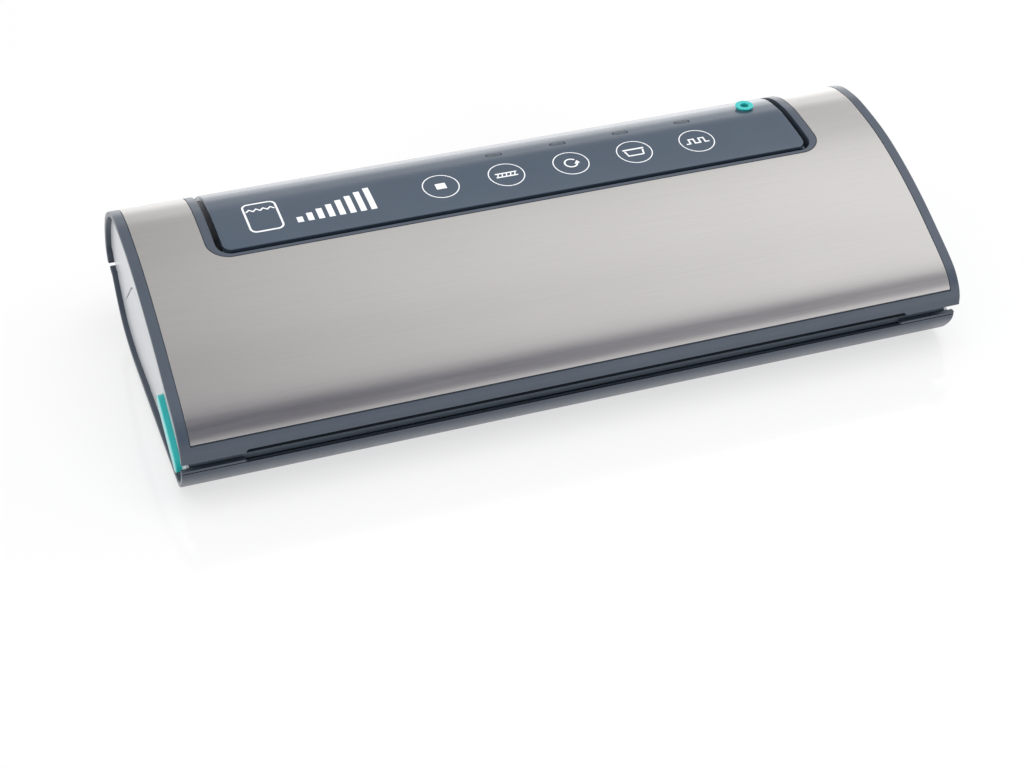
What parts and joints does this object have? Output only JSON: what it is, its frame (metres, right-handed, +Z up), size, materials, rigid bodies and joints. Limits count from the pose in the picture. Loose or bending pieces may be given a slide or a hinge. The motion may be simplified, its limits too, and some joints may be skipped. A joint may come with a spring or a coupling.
{
  "type": "vacuum sealer",
  "caption": "Countertop vacuum sealer with a rear-hinged steel-clad lid, side release buttons, a touch panel, a vacuum trough and a heated seal bar.",
  "frame": {"origin": "on the table, under the middle of the machine's overall box", "axes": "+Z up, +X to the user's right along the bag slot, -Y towards the user"},
  "size_m": [0.3906, 0.175, 0.0812],
  "materials": {
    "slate_plastic": "satin moulded",
    "dark_plastic": "fine texture",
    "silver_grey_plastic": "satin",
    "brushed_steel": "brushed along the width",
    "teal_plastic": "gloss",
    "black_rubber": "matt",
    "silicone": "matt",
    "light_pipe": "clear",
    "bright_metal": "plain",
    "brass": "turned",
    "circuit_board": "laminate",
    "amber_film": "woven coated tape"
  },
  "bodies": {
    "base": {"base_tray": "slate_plastic", "rear_housing": "slate_plastic", "control_panel": "slate_plastic", "base_deck": "dark_plastic", "sealing_bar": "dark_plastic", "pump_body": "dark_plastic", "vacuum_nozzle": "dark_plastic", "solenoid_valve": "dark_plastic", "lid_sensor": "dark_plastic", "end_panel_left": "silver_grey_plastic", "end_panel_right": "silver_grey_plastic", "hose_port": "teal_plastic", "foot_front_left": "black_rubber", "foot_front_right": "black_rubber", "foot_rear_left": "black_rubber", "foot_rear_right": "black_rubber", "pump_diaphragm": "black_rubber", "power_inlet": "black_rubber", "lower_gasket": "silicone", "vacuum_hose": "silicone", "port_hose": "silicone", "led_window_1": "light_pipe", "led_window_2": "light_pipe", "led_window_3": "light_pipe", "led_window_4": "light_pipe", "heating_strip": "bright_metal", "hinge_pin_left": "bright_metal", "hinge_pin_right": "bright_metal", "lid_spring_left": "bright_metal", "lid_spring_right": "bright_metal", "button_spring_left": "bright_metal", "button_spring_right": "bright_metal", "pump_motor": "bright_metal", "pump_bracket": "bright_metal", "base_screw_1": "bright_metal", "base_screw_2": "bright_metal", "base_screw_3": "bright_metal", "base_screw_4": "bright_metal", "control_board": "circuit_board", "power_board": "circuit_board", "sealing_tape": "amber_film", "transformer": "amber_film"},
    "lid": {"lid_frame": "slate_plastic", "lid_cover": "brushed_steel", "lid_end_panel_left": "silver_grey_plastic", "lid_end_panel_right": "silver_grey_plastic", "lid_liner": "dark_plastic", "lid_hook_left": "dark_plastic", "lid_hook_right": "dark_plastic", "lid_magnet": "bright_metal", "upper_gasket": "silicone", "press_bar": "silicone"},
    "release_left": {"release_button_left": "teal_plastic", "latch_slider_left": "dark_plastic"},
    "release_right": {"release_button_right": "teal_plastic", "latch_slider_right": "dark_plastic"},
    "pump_shaft": {"pump_crank": "brass"}
  },
  "joints": [
    {"name": "lid_hinge", "type": "hinge", "parent": "base", "child": "lid", "pos_m": [0, 0.0748, 0.037], "axis": [-1, 0, 0], "range_deg": [0, 50]},
    {"name": "release_left_press", "type": "slide", "parent": "base", "child": "release_left", "axis": [1, 0, 0], "range_m": [0, 0.003], "stiffness_N_per_m": 300, "springref_m": -0.003, "deforming": ["button_spring_left"]},
    {"name": "release_right_press", "type": "slide", "parent": "base", "child": "release_right", "axis": [-1, 0, 0], "range_m": [0, 0.003], "stiffness_N_per_m": 300, "springref_m": -0.003, "deforming": ["button_spring_right"]},
    {"name": "pump_shaft_turn", "type": "hinge", "parent": "base", "child": "pump_shaft", "pos_m": [0.073, 0.027, 0.032], "axis": [1, 0, 0], "continuous": true}
  ]
}
